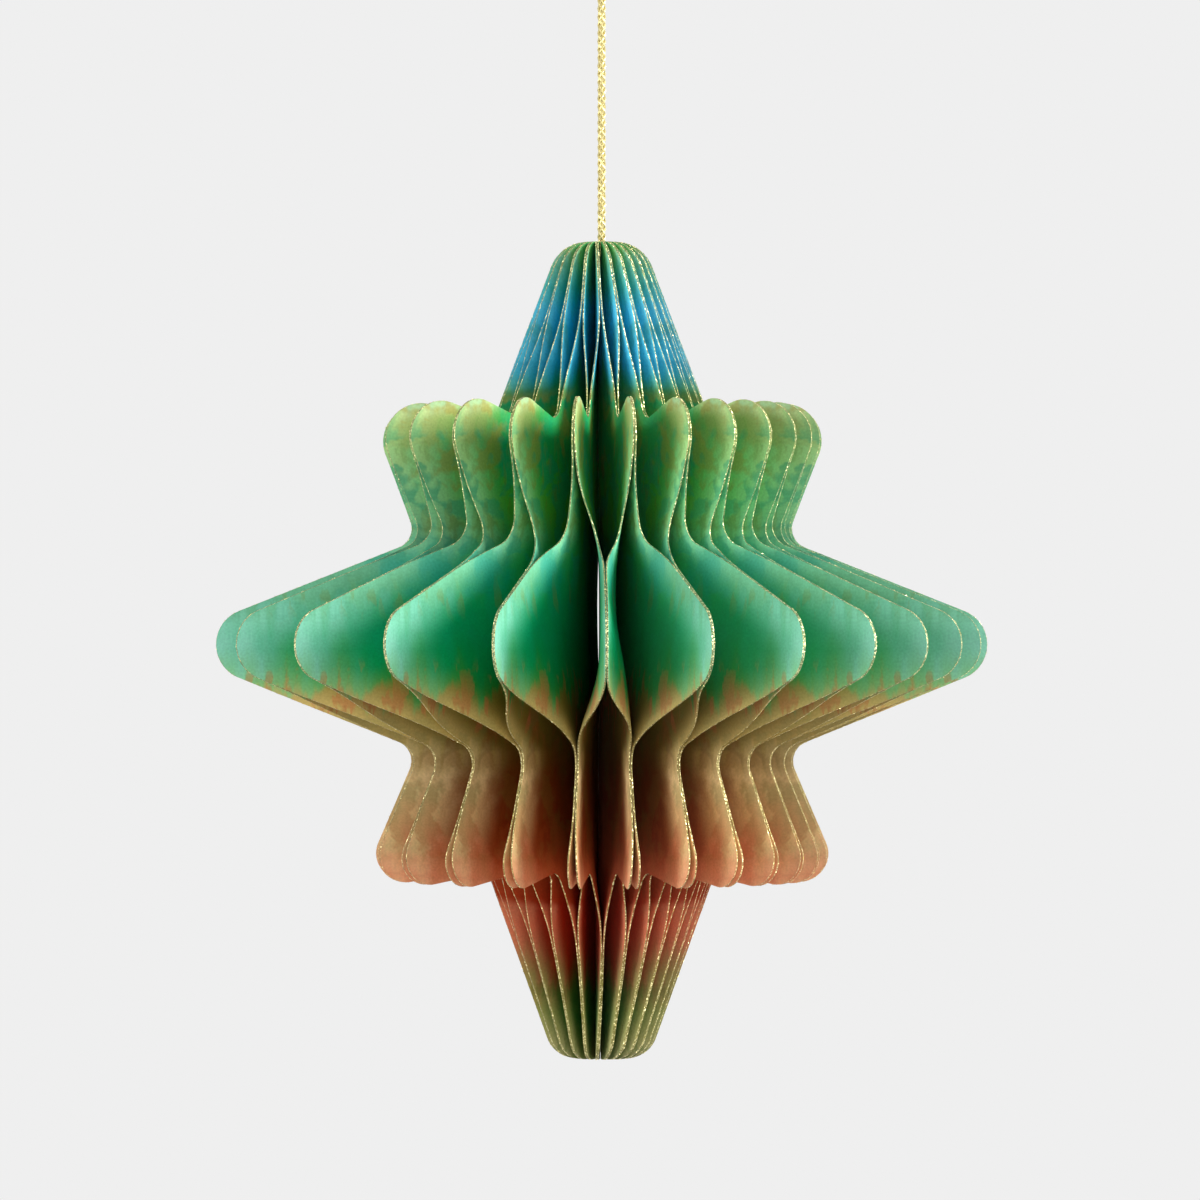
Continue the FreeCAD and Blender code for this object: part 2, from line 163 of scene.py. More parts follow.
@dataclass(frozen=True)
class PrintedCard:
    """Offset-printed, uncoated card: an ombre wash by height, the same on every leaf.

    The ink soaks into the fibres, so the surface stays matt with a fine tooth.
    """

    # Lengths are in mm and the scales of noise per mm. The tooth is drawn coarser than real paper
    # fibre, which is too fine to show. The outline is each height's distance from the axis, and
    # pale_from and pale_to are shares of it. The heart is the ink near the axis, by height, darkened
    # with painted shade deep in the cells, and the rim is the ink along the outline, lightened with a
    # painted highlight where the edges catch the light.
    half_height: float = 75.0
    widest: float = 90.0
    tooth_per_mm: float = 3.0
    tooth_depth: float = 0.02
    grain_per_mm: float = 2.2
    grain_share: float = 0.1
    run_per_mm: float = 0.25
    run_reach: float = 14.0
    streak_per_mm: tuple[float, float, float] = (0.3, 0.05, 1.0)
    streak_start: tuple[float, float, float] = (3.4, 1.7, 0.43)
    streak_reach: float = 4.5
    wash_full: float = 0.3
    wash_gone: float = 1.5
    outline: tuple[tuple[float, float], ...] = (
        (-75.0, 8.7), (-46.5, 20.0), (-44.0, 30.0), (-41.0, 40.0), (-37.0, 42.5),
        (-30.0, 39.0), (-18.4, 34.0), (-10.0, 56.0), (-6.0, 67.5), (-3.0, 75.5),
        (0.0, 78.5), (3.0, 76.0), (6.0, 68.5), (10.0, 57.0), (20.2, 34.0),
        (32.0, 39.0), (38.0, 42.5), (42.0, 40.0), (45.0, 30.0), (48.0, 19.5),
        (75.0, 7.6),
    )
    pale_from: float = 0.7
    pale_to: float = 1.0
    # Print darkened with painted shade deep in the cells near the axis.
    heart: tuple[tuple[float, str], ...] = (
        (-75.0, "#6c7038"), (-67.0, "#2f6426"), (-62.0, "#3c5c1c"), (-60.0, "#6c4418"),
        (-56.0, "#903014"), (-48.0, "#b4341a"), (-40.0, "#b04a22"), (-32.0, "#903c12"),
        (-24.0, "#844212"), (-17.0, "#7a6424"), (-9.1, "#82722a"), (-7.1, "#2c8a38"),
        (-3.0, "#009250"), (4.0, "#009a62"), (10.0, "#069e60"), (18.0, "#34a85e"),
        (25.0, "#5cb03c"), (31.0, "#40b04c"), (37.0, "#14a05c"), (43.0, "#3c9e48"),
        (49.0, "#0c9a6c"), (53.0, "#06a4c4"), (61.0, "#04a6ce"), (66.0, "#109c94"),
        (75.0, "#58aa60"),
    )
    # Print lightened with a painted highlight along the lit outline.
    rim: tuple[tuple[float, str], ...] = (
        (-75.0, "#b4ac78"), (-66.0, "#949450"), (-60.0, "#a6824e"), (-54.0, "#c67a54"),
        (-48.0, "#d87e5a"), (-40.0, "#e2aa7e"), (-32.0, "#e0be84"), (-24.0, "#ecd096"),
        (-17.0, "#c8ac64"), (-8.3, "#b8a060"), (-6.3, "#84b474"), (-3.2, "#86c496"),
        (2.0, "#92cebc"), (6.0, "#7cc2a6"), (10.0, "#66ac86"), (18.0, "#78c49c"),
        (25.0, "#98d89c"), (31.0, "#a4dc9c"), (37.0, "#aace86"), (43.0, "#b2c484"),
        (48.0, "#8cd6b6"), (53.0, "#64d2e8"), (61.0, "#64d0e8"), (66.0, "#58c0bc"),
        (75.0, "#a0c48c"),
    )
    # Painted light: one side of each leaf is a little paler; the print is the same on both sides.
    painted_side_light: str = "#e6f2d8"
    painted_side_light_share: float = 0.04
    mottles: tuple[Mottle, ...] = (
        Mottle(
            wide=6.0,
            high=7.0,
            shift=10.37,
            bare=0.5,
            edge=0.1,
            inks=(
                (-48.0, "#b0502a", 0.0), (-30.0, "#7a7a34", 0.35), (-16.0, "#8f4a20", 0.45),
                (-11.0, "#9a5a2c", 0.5), (-6.0, "#2a8a4c", 0.0), (14.0, "#2a8a4c", 0.0),
                (22.0, "#7c8430", 0.45), (30.0, "#928c34", 0.55), (46.0, "#a09244", 0.6),
                (49.0, "#3c8a38", 0.0),
            ),
        ),
        Mottle(
            wide=6.5,
            high=6.0,
            shift=40.63,
            bare=0.49,
            edge=0.08,
            inks=(
                (-44.0, "#c86a40", 0.0), (-34.0, "#a85024", 0.4), (-22.0, "#7a5a24", 0.3),
                (-8.0, "#1f9a6a", 0.0), (10.0, "#1f9a8a", 0.15), (17.0, "#1fa48c", 0.45),
                (24.0, "#14a484", 0.5), (36.0, "#109c78", 0.65), (43.0, "#2fa268", 0.2),
                (52.0, "#0c90b8", 0.25), (64.0, "#149a94", 0.4), (70.0, "#3c9a5c", 0.3),
            ),
        ),
        Mottle(
            wide=2.6,
            high=7.0,
            shift=80.29,
            bare=0.54,
            edge=0.06,
            inks=(
                (-62.0, "#4c6a26", 0.4), (-52.0, "#b0502a", 0.1), (-18.0, "#94602c", 0.2),
                (-12.0, "#c06a44", 0.6), (-5.0, "#b0703c", 0.5), (-1.0, "#6f8a3c", 0.0),
                (5.0, "#7a8434", 0.0), (9.0, "#7a8434", 0.35), (15.0, "#5a9a50", 0.0),
                (28.0, "#8a8434", 0.35), (44.0, "#5aa044", 0.2),
            ),
        ),
    )
    washes: tuple[Wash, ...] = (
        Wash(34.0, 41.0, 5.0, 3.5, "#98994c", 0.5),
        Wash(40.0, 14.0, 5.0, 4.0, "#149c9c", 0.35),
        Wash(39.0, -27.0, 3.5, 7.0, "#a9ac70", 0.5),
        Wash(34.0, -40.0, 6.0, 4.5, "#d07850", 0.5),
        Wash(26.0, -29.0, 5.0, 7.0, "#7a2a0a", 0.5),
    )

    def make(self) -> Material:
        """Builds the material.

        Returns:
            The card's material.
        """
        material, tree = new_material("printed_card_ombre")
        place = add(tree, "ShaderNodeTexCoord").outputs["Object"]
        parts = add(tree, "ShaderNodeSeparateXYZ", {0: place}).outputs
        flat = add(tree, "ShaderNodeCombineXYZ", {0: parts[0], 1: parts[1]}).outputs[0]
        out = add(tree, "ShaderNodeVectorMath", {0: flat}, operation="LENGTH").outputs["Value"]
        page_m = add(tree, "ShaderNodeCombineXYZ", {0: out, 1: parts[2]}).outputs[0]
        page = add(
            tree, "ShaderNodeVectorMath", {0: page_m, "Scale": 1 / MM}, operation="SCALE"
        ).outputs[0]
        colour = self._ombre(tree, page)
        wet = self._wet(tree, page)
        for wash in self.washes:
            colour = self._wash(tree, wet, colour, wash)
        for mottle in self.mottles:
            colour = self._mottle(tree, page, colour, mottle)
        colour = self._paint_side_light(tree, place, colour)
        colour = self._grain(tree, page, colour)
        tooth = add(
            tree, "ShaderNodeTexNoise", {"Vector": page, "Scale": self.tooth_per_mm, "Detail": 3.0}
        )
        bump = add(
            tree,
            "ShaderNodeBump",
            {"Height": tooth.outputs[0], "Strength": 0.25, "Distance": self.tooth_depth * MM},
        )
        # Matt ink on uncoated card gives the eye a broad, weak sheen and no gloss.
        shader = add(
            tree,
            "ShaderNodeBsdfPrincipled",
            {
                "Base Color": colour,
                "Roughness": 0.6,
                "Specular IOR Level": 0.1,
                "Normal": bump.outputs[0],
            },
        )
        add(tree, "ShaderNodeOutputMaterial", {"Surface": shader.outputs[0]})
        return material

    def _wet(self, tree: NodeTree, page: NodeSocket) -> NodeSocket:
        """Leads the place on the leaf astray by a few mm, as ink runs in wet paper.

        Args:
            tree: the card's node tree.
            page: the place on the leaf, in mm from the axis and in height.

        Returns:
            The moved place.
        """
        run = add(tree, "ShaderNodeTexNoise", {"Vector": page, "Scale": self.run_per_mm, "Detail": 3.0})
        turn = add(
            tree, "ShaderNodeVectorMath", {0: run.outputs[1], 1: (0.5, 0.5, 0.5)}, operation="SUBTRACT"
        ).outputs[0]
        return add(
            tree,
            "ShaderNodeVectorMath",
            {0: turn, 1: (self.run_reach, self.run_reach, 0.0), 2: page},
            operation="MULTIPLY_ADD",
        ).outputs[0]

    def _ombre(self, tree: NodeTree, page: NodeSocket) -> NodeSocket:
        """Lays the wash by height, whose bands run into each other in upright streaks.

        Args:
            tree: the card's node tree.
            page: the place on the leaf, in mm from the axis and in height.

        Returns:
            The wash's colour.
        """
        streak_place = add(
            tree,
            "ShaderNodeVectorMath",
            {0: page, 1: self.streak_per_mm, 2: self.streak_start},
            operation="MULTIPLY_ADD",
        ).outputs[0]
        streak = add(
            tree, "ShaderNodeTexNoise", {"Vector": streak_place, "Scale": 1.0, "Detail": 4.0}
        ).outputs[0]
        shift = add(
            tree,
            "ShaderNodeMapRange",
            {
                0: streak,
                "From Min": 0.25,
                "From Max": 0.75,
                "To Min": -self.streak_reach,
                "To Max": self.streak_reach,
            },
        ).outputs[0]
        page_parts = add(tree, "ShaderNodeSeparateXYZ", {0: page}).outputs
        shifted = add(tree, "ShaderNodeMath", {0: page_parts[1], 1: shift}, operation="ADD").outputs[0]
        reach = self._by_height(
            tree, page_parts[1], [(z, (r / self.widest,) * 3 + (1.0,)) for z, r in self.outline]
        )[0]
        wide = add(
            tree, "ShaderNodeMath", {0: reach, 1: self.widest}, operation="MULTIPLY"
        ).outputs[0]
        share = add(tree, "ShaderNodeMath", {0: page_parts[0], 1: wide}, operation="DIVIDE").outputs[0]
        # Towards the outline the print pales, partly with a painted highlight.
        pale = add(
            tree,
            "ShaderNodeMapRange",
            {0: share, "From Min": self.pale_from, "From Max": self.pale_to},
            interpolation_type="SMOOTHSTEP",
        ).outputs[0]
        # The heart's colours carry painted shade, and the rim's colours a painted highlight.
        deep_ink_and_shade = self._by_height(tree, shifted, [(z, linear(c)) for z, c in self.heart])[0]
        pale_ink_and_highlight = self._by_height(tree, shifted, [(z, linear(c)) for z, c in self.rim])[0]
        return add(
            tree, "ShaderNodeMix", {0: pale, 6: deep_ink_and_shade, 7: pale_ink_and_highlight}, data_type="RGBA"
        ).outputs[2]

    def _by_height(
        self,
        tree: NodeTree,
        height: NodeSocket,
        levels: list[tuple[float, tuple[float, ...]]],
    ) -> NodeOutputs:
        """Changes a colour and its alpha with height through some levels.

        Args:
            tree: the card's node tree.
            height: the height in mm.
            levels: each level's height in mm and its red, green, blue and alpha.

        Returns:
            The outputs for the colour and the alpha.
        """
        share = add(
            tree,
            "ShaderNodeMapRange",
            {0: height, "From Min": -self.half_height, "From Max": self.half_height},
        ).outputs[0]
        ramp = add(tree, "ShaderNodeValToRGB", {0: share})
        stops = ramp.color_ramp.elements
        while len(stops) < len(levels):
            stops.new(0.5)
        for stop, (level, colour) in zip(stops, levels):
            stop.position = (level + self.half_height) / (2 * self.half_height)
            stop.color = colour
        return ramp.outputs

    def _mottle(
        self,
        tree: NodeTree,
        page: NodeSocket,
        under: NodeSocket,
        mottle: Mottle,
    ) -> NodeSocket:
        """Scatters ragged flecks of ink over the colour under them.

        Args:
            tree: the card's node tree.
            page: the place on the leaf, in mm from the axis and in height.
            under: the colour under the flecks.
            mottle: the flecks' sizes and inks.

        Returns:
            The colour with the flecks.
        """
        moved = add(
            tree, "ShaderNodeVectorMath", {0: page, 1: (mottle.shift, mottle.shift, mottle.shift)}
        ).outputs[0]
        sized = add(
            tree,
            "ShaderNodeVectorMath",
            {0: moved, 1: (1 / mottle.wide, 1 / mottle.high, 1.0)},
            operation="MULTIPLY",
        ).outputs[0]
        cloud = add(
            tree,
            "ShaderNodeTexNoise",
            {"Vector": sized, "Scale": 1.0, "Detail": 3.0, "Roughness": 0.5, "Distortion": 0.3},
        ).outputs[0]
        height = add(tree, "ShaderNodeSeparateXYZ", {0: page}).outputs[1]
        levels = [(level, linear(ink)[:3] + (strength,)) for level, ink, strength in mottle.inks]
        ink, strength = self._by_height(tree, height, levels)
        cover = add(
            tree,
            "ShaderNodeMapRange",
            {
                0: cloud,
                "From Min": mottle.bare,
                "From Max": mottle.bare + mottle.edge,
                "To Max": strength,
            },
            interpolation_type="SMOOTHSTEP",
        ).outputs[0]
        return add(tree, "ShaderNodeMix", {0: cover, 6: under, 7: ink}, data_type="RGBA").outputs[2]

    def _paint_side_light(self, tree: NodeTree, place: NodeSocket, colour: NodeSocket) -> NodeSocket:
        """Makes the ink a little paler on the side of each leaf that looks left, as painted light; the
        print is the same on both sides.

        Args:
            tree: the card's node tree.
            place: the place in the object.
            colour: the ink's colour.

        Returns:
            The colour on both sides.
        """
        normal = add(tree, "ShaderNodeNewGeometry").outputs["Normal"]
        turned = add(
            tree, "ShaderNodeVectorMath", {0: place, 1: normal}, operation="CROSS_PRODUCT"
        ).outputs[0]
        up = add(tree, "ShaderNodeSeparateXYZ", {0: turned}).outputs[2]
        # The paler side is painted light, not a second print.
        paler_side = add(tree, "ShaderNodeMath", {0: up, 1: 0.0}, operation="LESS_THAN").outputs[0]
        share = add(
            tree, "ShaderNodeMath", {0: paler_side, 1: self.painted_side_light_share}, operation="MULTIPLY"
        ).outputs[0]
        return add(
            tree,
            "ShaderNodeMix",
            {0: share, 6: colour, 7: linear(self.painted_side_light)},
            data_type="RGBA",
        ).outputs[2]

    def _wash(self, tree: NodeTree, page: NodeSocket, under: NodeSocket, wash: Wash) -> NodeSocket:
        """Lays one soft field of ink over the colour under it.

        Args:
            tree: the card's node tree.
            page: the place on the leaf, in mm from the axis and in height.
            under: the colour under the field.
            wash: the field's place, size and ink.

        Returns:
            The colour with the field.
        """
        moved = add(
            tree,
            "ShaderNodeVectorMath",
            {0: page, 1: (wash.radius, wash.height, 0.0)},
            operation="SUBTRACT",
        ).outputs[0]
        sized = add(
            tree,
            "ShaderNodeVectorMath",
            {0: moved, 1: (1 / wash.half_radius, 1 / wash.half_height, 1.0)},
            operation="MULTIPLY",
        ).outputs[0]
        distance = add(
            tree, "ShaderNodeVectorMath", {0: sized}, operation="LENGTH"
        ).outputs["Value"]
        cover = add(
            tree,
            "ShaderNodeMapRange",
            {
                0: distance,
                "From Min": self.wash_gone,
                "From Max": self.wash_full,
                "To Max": wash.strength,
            },
            interpolation_type="SMOOTHSTEP",
        ).outputs[0]
        mixed = add(
            tree, "ShaderNodeMix", {0: cover, 6: under, 7: linear(wash.colour)}, data_type="RGBA"
        )
        return mixed.outputs[2]

    def _grain(self, tree: NodeTree, page: NodeSocket, colour: NodeSocket) -> NodeSocket:
        """Speckles the ink as it lies on paper fibre.

        Args:
            tree: the card's node tree.
            page: the place on the leaf, in mm from the axis and in height.
            colour: the ink's colour.

        Returns:
            The speckled colour.
        """
        speck = add(
            tree, "ShaderNodeTexNoise", {"Vector": page, "Scale": self.grain_per_mm, "Detail": 4.0}
        ).outputs[0]
        value = add(
            tree,
            "ShaderNodeMapRange",
            {
                0: speck,
                "From Min": 0.3,
                "From Max": 0.7,
                "To Min": 1 - self.grain_share,
                "To Max": 1 + self.grain_share,
            },
        ).outputs[0]
        return add(tree, "ShaderNodeHueSaturation", {"Value": value, "Color": colour}).outputs[0]


@dataclass(frozen=True)
class GoldGlitter:
    """Gold polyester glitter in clear glue: metal-coated flakes that face every way and sparkle, with
    painted glints and painted shade in their colour.
    """

    # The pattern's flakes are 0.22 mm across, as in fine craft glitter.
    # The colour runs from a dark gold, painted shade for flakes that catch no light, to a near-white
    # cream, painted glints.
    painted_shade_gold: str = "#746c2c"
    painted_glint_cream: str = "#fbeeb0"
    flake: float = 0.22
    lean: float = 0.9
    painted_glint_from: float = 0.55
    painted_glint_full: float = 0.85

    def make(self) -> Material:
        """Builds the material.

        Returns:
            The glitter's material.
        """
        material, tree = new_material("gold_glitter")
        place = add(tree, "ShaderNodeTexCoord").outputs["Object"]
        cells = add(
            tree, "ShaderNodeTexVoronoi", {"Vector": place, "Scale": 1 / (self.flake * MM)}
        ).outputs["Color"]
        tilt = add(
            tree, "ShaderNodeVectorMath", {0: cells, 1: (0.5, 0.5, 0.5)}, operation="SUBTRACT"
        ).outputs[0]
        normal = add(tree, "ShaderNodeNewGeometry").outputs["Normal"]
        leaning = add(
            tree,
            "ShaderNodeVectorMath",
            {0: tilt, 1: (self.lean, self.lean, self.lean), 2: normal},
            operation="MULTIPLY_ADD",
        ).outputs[0]
        facing = add(tree, "ShaderNodeVectorMath", {0: leaning}, operation="NORMALIZE").outputs[0]
        tone = add(tree, "ShaderNodeAttribute", attribute_name="tone").outputs["Fac"]
        spread = add(tree, "ShaderNodeSeparateColor", {0: cells}).outputs[0]
        painted_glint = add(
            tree,
            "ShaderNodeMapRange",
            {0: spread, "From Min": self.painted_glint_from, "From Max": self.painted_glint_full, "To Max": 0.9},
        ).outputs[0]
        # Bright cells and large flakes lean to the cream as painted glints; the rest keep the dark
        # gold's painted shade.
        mixed = add(tree, "ShaderNodeMath", {0: painted_glint, 1: tone})
        colour = add(
            tree,
            "ShaderNodeMix",
            {0: mixed.outputs[0], 6: linear(self.painted_shade_gold), 7: linear(self.painted_glint_cream)},
            data_type="RGBA",
        ).outputs[2]
        # Foil flakes under clear glue: part metal, part gloss, so single flakes flash as it turns, on
        # top of the glints painted into their colour.
        shader = add(
            tree,
            "ShaderNodeBsdfPrincipled",
            {"Base Color": colour, "Metallic": 0.7, "Roughness": 0.32, "Normal": facing},
        )
        add(tree, "ShaderNodeOutputMaterial", {"Surface": shader.outputs[0]})
        return material


@dataclass(frozen=True)
class GoldThread:
    """Metallic yarn: foil wound round a core, so it shines along its length in fine turns."""

    # In mm: the foil's turns are about as wide as real ones, and stand a little out.
    colour: str = "#f6edb8"
    shade: str = "#b09a44"
    turn: float = 0.22
    ridge: float = 0.03

    def make(self) -> Material:
        """Builds the material.

        Returns:
            The yarn's material.
        """
        material, tree = new_material("gold_metallic_yarn")
        place = add(tree, "ShaderNodeTexCoord").outputs["Object"]
        turns = add(
            tree, "ShaderNodeTexNoise", {"Vector": place, "Scale": 1 / (self.turn * MM), "Detail": 1.0}
        ).outputs[0]
        colour = add(
            tree,
            "ShaderNodeMix",
            {0: turns, 6: linear(self.shade), 7: linear(self.colour)},
            data_type="RGBA",
        ).outputs[2]
        bump = add(
            tree, "ShaderNodeBump", {"Height": turns, "Strength": 0.4, "Distance": self.ridge * MM}
        ).outputs[0]
        # Wound foil: metal with fine ridges, so highlights break into short bright dashes.
        shader = add(
            tree,
            "ShaderNodeBsdfPrincipled",
            {"Base Color": colour, "Metallic": 0.7, "Roughness": 0.4, "Normal": bump},
        )
        add(tree, "ShaderNodeOutputMaterial", {"Surface": shader.outputs[0]})
        return material


@dataclass(frozen=True)
class CoreThread:
    """Spun cotton under the braid: matt, and darkened as painted shade between the bright yarns."""

    # In mm. The fibres are drawn coarser than real cotton, which is too fine to show.
    # Painted shade: the core shows only in the gaps between the yarns.
    colour: str = "#38330f"
    fibre: float = 0.3
    fuzz: float = 0.05

    def make(self) -> Material:
        """Builds the material.

        Returns:
            The core's material.
        """
        material, tree = new_material("cotton_core_painted_shade")
        place = add(tree, "ShaderNodeTexCoord").outputs["Object"]
        fibres = add(
            tree, "ShaderNodeTexNoise", {"Vector": place, "Scale": 1 / (self.fibre * MM)}
        ).outputs[0]
        bump = add(
            tree, "ShaderNodeBump", {"Height": fibres, "Strength": 0.5, "Distance": self.fuzz * MM}
        ).outputs[0]
        # Spun cotton: fuzzy and matt; its dark colour is painted shade, so the gaps between the yarns
        # read as dark.
        shader = add(
            tree,
            "ShaderNodeBsdfPrincipled",
            {"Base Color": linear(self.colour), "Roughness": 0.85, "Normal": bump},
        )
        add(tree, "ShaderNodeOutputMaterial", {"Surface": shader.outputs[0]})
        return material


# ---------------------------------------------------------------- pieces


def triangles(piece: Object) -> int:
    """How many triangles a piece has."""
    return sum(len(face.vertices) - 2 for face in piece.data.polygons)


def wear(piece: Object, *finishes: Material) -> None:
    """Gives a new piece its materials in order.

    Args:
        piece: the piece.
        finishes: its materials, by the numbers that its faces hold.
    """
    piece.data.materials.clear()
    for finish in finishes:
        piece.data.materials.append(finish)


def dress(node: Object, material: Material) -> None:
    """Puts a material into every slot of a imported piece."""
    for slot in node.material_slots:
        slot.material = material


# ---------------------------------------------------------------- hanging cord


def tube(name: str, lines: list[tuple[list[Vector], float, int]], sides: int) -> Object:
    """Makes one mesh of round strands.

    Args:
        name: the piece's name.
        lines: each strand's points, its radius and the number of its material.
        sides: corners of a strand's section.

    Returns:
        The piece, with its strands closed at their ends.
    """
    data = bpy.data.curves.new(name, "CURVE")
    data.dimensions = "3D"
    data.bevel_mode = "ROUND"
    data.bevel_depth = 1.0
    data.bevel_resolution = max(0, sides // 2 - 2)
    data.use_fill_caps = True
    for points, radius, finish in lines:
        strand = data.splines.new("POLY")
        strand.material_index = finish
        strand.points.add(len(points) - 1)
        for end, point in zip(strand.points, points):
            end.co = (*point, 1.0)
            end.radius = radius
    piece = bpy.data.objects.new(name, data)
    bpy.context.scene.collection.objects.link(piece)
    bpy.ops.object.select_all(action="DESELECT")
    piece.select_set(True)
    bpy.context.view_layer.objects.active = piece
    bpy.ops.object.convert(target="MESH")
    bpy.ops.object.shade_smooth_by_angle(angle=ROUND_UNDER)
    return bpy.context.view_layer.objects.active


def spline_points(
    name: str, route: list[tuple[float, float, float]], fineness: int = 24
) -> list[Vector]:
    """Reads the points of a smooth line.

    Args:
        name: the line's name.
        route: the control points of a quadratic NURBS spline, in metres.
        fineness: how many points each stretch gets.

    Returns:
        Close points along the spline.
    """
    data = bpy.data.curves.new(name, "CURVE")
    data.dimensions = "3D"
    data.resolution_u = fineness
    spline = data.splines.new("NURBS")
    spline.points.add(len(route) - 1)
    for point, place in zip(spline.points, route):
        point.co = (*place, 1.0)
    spline.order_u = 3
    spline.use_endpoint_u = True
    guide = bpy.data.objects.new(name, data)
    mesh = bpy.data.meshes.new_from_object(guide)
    points = [vertex.co.copy() for vertex in mesh.vertices]
    bpy.data.objects.remove(guide)
    bpy.data.meshes.remove(mesh)
    return points


def even_steps(points: list[Vector], step: float) -> list[tuple[Vector, Vector, Vector, float]]:
    """Walks a line in even steps with a frame that doesn't twist.

    Args:
        points: the line's points.
        step: the distance between two places, in metres.

    Returns:
        For each place its point, two directions across the line, and its distance along it.
    """
    lengths = [0.0]
    for start, end in zip(points, points[1:]):
        lengths.append(lengths[-1] + (end - start).length)
    count = max(2, round(lengths[-1] / step))
    places = []
    leg = 0
    for n in range(count + 1):
        along = lengths[-1] * n / count
        while leg < len(points) - 2 and lengths[leg + 1] < along:
            leg += 1
        share = (along - lengths[leg]) / max(lengths[leg + 1] - lengths[leg], TINY)
        places.append((points[leg].lerp(points[leg + 1], share), along))
    walked = []
    side = Vector((0.0, 1.0, 0.0))
    for n, (place, along) in enumerate(places):
        before = places[max(n - 1, 0)][0]
        after = places[min(n + 1, count)][0]
        onward = (after - before).normalized()
        side = (side - onward * side.dot(onward)).normalized()
        walked.append((place, side, onward.cross(side), along))
    return walked


@dataclass
class Braid:
    """A round braid of eight foil-wound yarns, four each way, over a core.

    Yarn and core are radii, swell is how far a yarn rises over the next, and lay is its full turn.
    """

    diameter: float = 1.6 * MM
    yarn: float = 0.19 * MM
    swell: float = 0.07 * MM
    core: float = 0.46 * MM
    lay: float = 6.0 * MM
    step: float = 0.2 * MM
    each_way: int = 4

    def yarns(self, points: list[Vector]) -> list[tuple[list[Vector], float, int]]:
        """Lays the yarns and their core along a line.

        Args:
            points: the line's points.

        Returns:
            Each yarn's points, its radius and the number of its material.
        """
        walked = even_steps(points, self.step)
        lines = [([place for place, _, _, _ in walked], self.core, 1)]
        middle = self.diameter / 2 - self.yarn - self.swell
        for way in (1, -1):
            for number in range(self.each_way):
                line = []
                for place, side, up, along in walked:
                    turn = 2 * math.pi * (way * along / self.lay + number / self.each_way)
                    weave = math.cos(2 * math.pi * self.each_way * along / self.lay)
                    out = middle + way * self.swell * weave
                    line.append(place + (side * math.cos(turn) + up * math.sin(turn)) * out)
                lines.append((line, self.yarn, 0))
        return lines


@dataclass
class HangingCord:
    """The gold braid that the star hangs by, knotted in the spine and into a loop on top."""

    diameter: float = 1.6 * MM
    length: float = 84 * MM
    crown: float = 75 * MM
    knot_foot: float = 121 * MM
    knot_height: float = 4 * MM
    knot_radius: float = 2.3 * MM
    knot_turn: float = 0.52
    lobe_middle: float = 1.25
    lobe_swing: float = 0.67
    knot_steps: int = 120
    sides: int = 6
    route: tuple[tuple[float, float, float], ...] = (
        (0.0, 0.0, 0.073), (0.0, 0.0, 0.117), (0.0, 0.0, 0.121),
        (0.00085, 0.0, 0.125), (0.00085, 0.0, 0.1275), (0.003, 0.0, 0.132),
        (0.003, 0.0, 0.138), (-0.003, 0.0, 0.138), (-0.003, 0.0, 0.132),
        (-0.00085, 0.0, 0.1275), (-0.00085, 0.0, 0.125),
    )

    def build(self, yarn: Material, core: Material) -> list[Object]:
        """Makes the cord and its knots.

        Args:
            yarn: the finish of the yarns.
            core: the finish of the core under them.

        Returns:
            The knot in the loop, the knot in the crown and the braid.
        """
        knot = self._loop_knot(yarn, core)
        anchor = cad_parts["crown_knot"]
        dress(anchor, yarn)
        points = spline_points("cord_line", list(self.route))
        braid = tube("braided_cord", Braid().yarns(points), self.sides)
        wear(braid, yarn, core)
        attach(braid, BODY)
        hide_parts("hanging_cord", "hanging_loop")
        return [knot, anchor, braid]

    def _loop_knot(self, yarn: Material, core: Material) -> Object:
        """Ties the overhand knot of the loop: three lobes of braid pulled tight.

        Args:
            yarn: the finish of the yarns.
            core: the finish of the core under them.

        Returns:
            The knot.
        """
        turn_radius = self.knot_turn * (self.knot_radius - self.diameter / 2)
        rise = (self.knot_height - self.diameter) / 2
        middle = Vector((0.0, 0.0, self.knot_foot + self.knot_height / 2))
        line = []
        for n in range(self.knot_steps + 1):
            t = 2 * math.pi * n / self.knot_steps
            reach = turn_radius * (self.lobe_middle + self.lobe_swing * math.cos(3 * t))
            over = rise * math.sin(3 * t)
            line.append(middle + Vector((reach * math.cos(2 * t), reach * math.sin(2 * t), over)))
        piece = tube("tied_loop_knot", Braid().yarns(line), self.sides)
        wear(piece, yarn, core)
        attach(piece, BODY)
        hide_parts("loop_knot")
        return piece


# ---------------------------------------------------------------- leaves


@dataclass
class CutEdge:
    """One side's cut edge of a leaf from crown to foot: places, normals and distances along it."""

    places: np.ndarray
    normals: np.ndarray
    along: np.ndarray

    def at(self, along: np.ndarray) -> tuple[np.ndarray, np.ndarray]:
        """Reads the edge at some distances along it.

        Args:
            along: the distances, as shares of the edge from the crown.

        Returns:
            The places and the face's normals there.
        """
        place = np.stack([np.interp(along, self.along, self.places[:, n]) for n in range(3)], 1)
        normal = np.stack([np.interp(along, self.along, self.normals[:, n]) for n in range(3)], 1)
        return place, normal / np.linalg.norm(normal, axis=1, keepdims=True)


